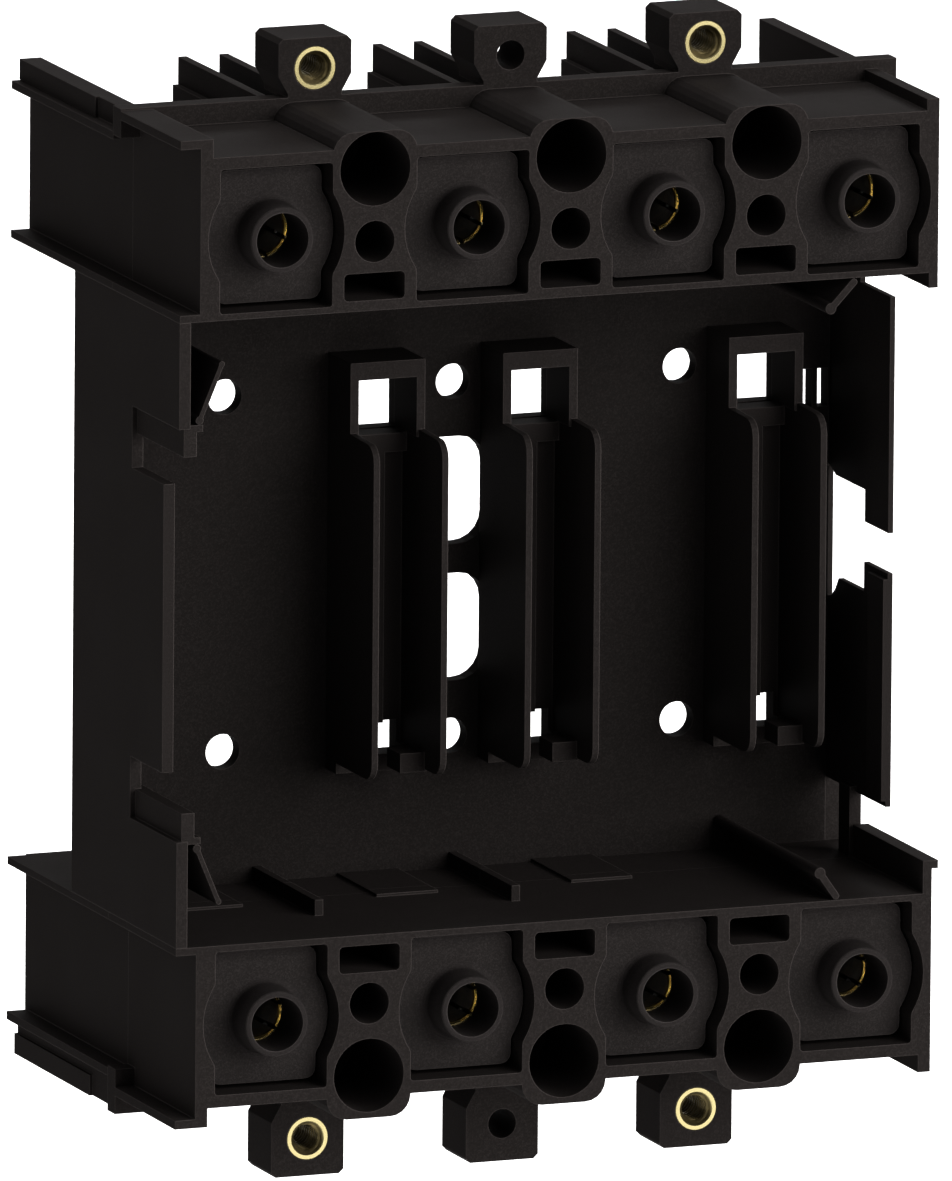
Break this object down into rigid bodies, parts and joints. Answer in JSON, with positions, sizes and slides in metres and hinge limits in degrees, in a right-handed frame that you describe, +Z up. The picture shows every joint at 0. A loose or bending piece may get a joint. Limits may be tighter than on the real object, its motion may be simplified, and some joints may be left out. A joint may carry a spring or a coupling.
{
  "type": "circuit breaker plug-in base",
  "caption": "Moulded plug-in base for a multi-pole moulded-case circuit breaker, with socket contacts, an open bay, connector guides and rear terminals.",
  "frame": {"origin": "middle of the six-hole rear fixing pattern, on the back plate's rear face", "axes": "+X across the poles to the right seen from the front, +Y rearward into the panel, +Z up"},
  "size_m": [0.1391, 0.0828, 0.1941],
  "materials": {
    "housing_black": "fine spark-eroded grain, black glass-filled plastic",
    "shroud_black": "fine grain, slightly smoother black plastic",
    "contact_brass": "turned, lightly oiled",
    "insert_brass": "bright turned and knurled",
    "copper": "rolled copper bar, satin",
    "zinc_steel": "zinc plated"
  },
  "bodies": {
    "base": {"rear_plate": "housing_black", "left_side_wall": "housing_black", "right_side_wall": "housing_black", "upper_block": "housing_black", "lower_block": "housing_black", "upper_terminal_housing": "housing_black", "lower_terminal_housing": "housing_black", "left_guide_channel": "housing_black", "middle_guide_channel": "housing_black", "right_guide_channel": "housing_black", "upper_shroud_1": "shroud_black", "upper_shroud_2": "shroud_black", "upper_shroud_3": "shroud_black", "upper_shroud_4": "shroud_black", "lower_shroud_1": "shroud_black", "lower_shroud_2": "shroud_black", "lower_shroud_3": "shroud_black", "lower_shroud_4": "shroud_black", "upper_contact_1": "contact_brass", "upper_contact_2": "contact_brass", "upper_contact_3": "contact_brass", "upper_contact_4": "contact_brass", "lower_contact_1": "contact_brass", "lower_contact_2": "contact_brass", "lower_contact_3": "contact_brass", "lower_contact_4": "contact_brass", "upper_terminal_bar_1": "copper", "upper_terminal_bar_2": "copper", "upper_terminal_bar_3": "copper", "upper_terminal_bar_4": "copper", "lower_terminal_bar_1": "copper", "lower_terminal_bar_2": "copper", "lower_terminal_bar_3": "copper", "lower_terminal_bar_4": "copper", "contact_springs": "zinc_steel", "contact_screws": "zinc_steel", "terminal_washers": "zinc_steel", "threaded_inserts": "insert_brass", "housing_screws": "zinc_steel"},
    "upper_left_latch": {"upper_left_latch": "housing_black"},
    "upper_right_latch": {"upper_right_latch": "housing_black"},
    "lower_left_latch": {"lower_left_latch": "housing_black"},
    "lower_right_latch": {"lower_right_latch": "housing_black"},
    "upper_terminal_screw_1": {"upper_terminal_screw_1": "zinc_steel"},
    "upper_terminal_screw_2": {"upper_terminal_screw_2": "zinc_steel"},
    "upper_terminal_screw_3": {"upper_terminal_screw_3": "zinc_steel"},
    "upper_terminal_screw_4": {"upper_terminal_screw_4": "zinc_steel"},
    "lower_terminal_screw_1": {"lower_terminal_screw_1": "zinc_steel"},
    "lower_terminal_screw_2": {"lower_terminal_screw_2": "zinc_steel"},
    "lower_terminal_screw_3": {"lower_terminal_screw_3": "zinc_steel"},
    "lower_terminal_screw_4": {"lower_terminal_screw_4": "zinc_steel"}
  },
  "joints": [
    {"name": "upper_left_latch_flex", "type": "hinge", "parent": "base", "child": "upper_left_latch", "pos_m": [-0.0629, -0.036, 0.0363], "axis": [0, 1, 0], "range_deg": [-7, 3], "stiffness_Nm_per_rad": 0.05},
    {"name": "upper_right_latch_flex", "type": "hinge", "parent": "base", "child": "upper_right_latch", "pos_m": [0.0538, -0.027, 0.0523], "axis": [0, 1, 0], "range_deg": [-4, 16], "stiffness_Nm_per_rad": 0.08},
    {"name": "lower_left_latch_flex", "type": "hinge", "parent": "base", "child": "lower_left_latch", "pos_m": [-0.0629, -0.036, -0.0363], "axis": [0, 1, 0], "range_deg": [-3, 7], "stiffness_Nm_per_rad": 0.05},
    {"name": "lower_right_latch_flex", "type": "hinge", "parent": "base", "child": "lower_right_latch", "pos_m": [0.0516, -0.027, -0.0523], "axis": [0, 1, 0], "range_deg": [-16, 4], "stiffness_Nm_per_rad": 0.08},
    {"name": "upper_terminal_screw_turn_1", "type": "hinge", "parent": "base", "child": "upper_terminal_screw_1", "pos_m": [-0.0496, 0.015, 0.066], "axis": [0, 0, 1], "continuous": true},
    {"name": "upper_terminal_screw_turn_2", "type": "hinge", "parent": "base", "child": "upper_terminal_screw_2", "pos_m": [-0.0146, 0.015, 0.066], "axis": [0, 0, 1], "continuous": true},
    {"name": "upper_terminal_screw_turn_3", "type": "hinge", "parent": "base", "child": "upper_terminal_screw_3", "pos_m": [0.0204, 0.015, 0.066], "axis": [0, 0, 1], "continuous": true},
    {"name": "upper_terminal_screw_turn_4", "type": "hinge", "parent": "base", "child": "upper_terminal_screw_4", "pos_m": [0.0554, 0.015, 0.066], "axis": [0, 0, 1], "continuous": true},
    {"name": "lower_terminal_screw_turn_1", "type": "hinge", "parent": "base", "child": "lower_terminal_screw_1", "pos_m": [-0.0496, 0.015, -0.066], "axis": [0, 0, -1], "continuous": true},
    {"name": "lower_terminal_screw_turn_2", "type": "hinge", "parent": "base", "child": "lower_terminal_screw_2", "pos_m": [-0.0146, 0.015, -0.066], "axis": [0, 0, -1], "continuous": true},
    {"name": "lower_terminal_screw_turn_3", "type": "hinge", "parent": "base", "child": "lower_terminal_screw_3", "pos_m": [0.0204, 0.015, -0.066], "axis": [0, 0, -1], "continuous": true},
    {"name": "lower_terminal_screw_turn_4", "type": "hinge", "parent": "base", "child": "lower_terminal_screw_4", "pos_m": [0.0554, 0.015, -0.066], "axis": [0, 0, -1], "continuous": true}
  ]
}
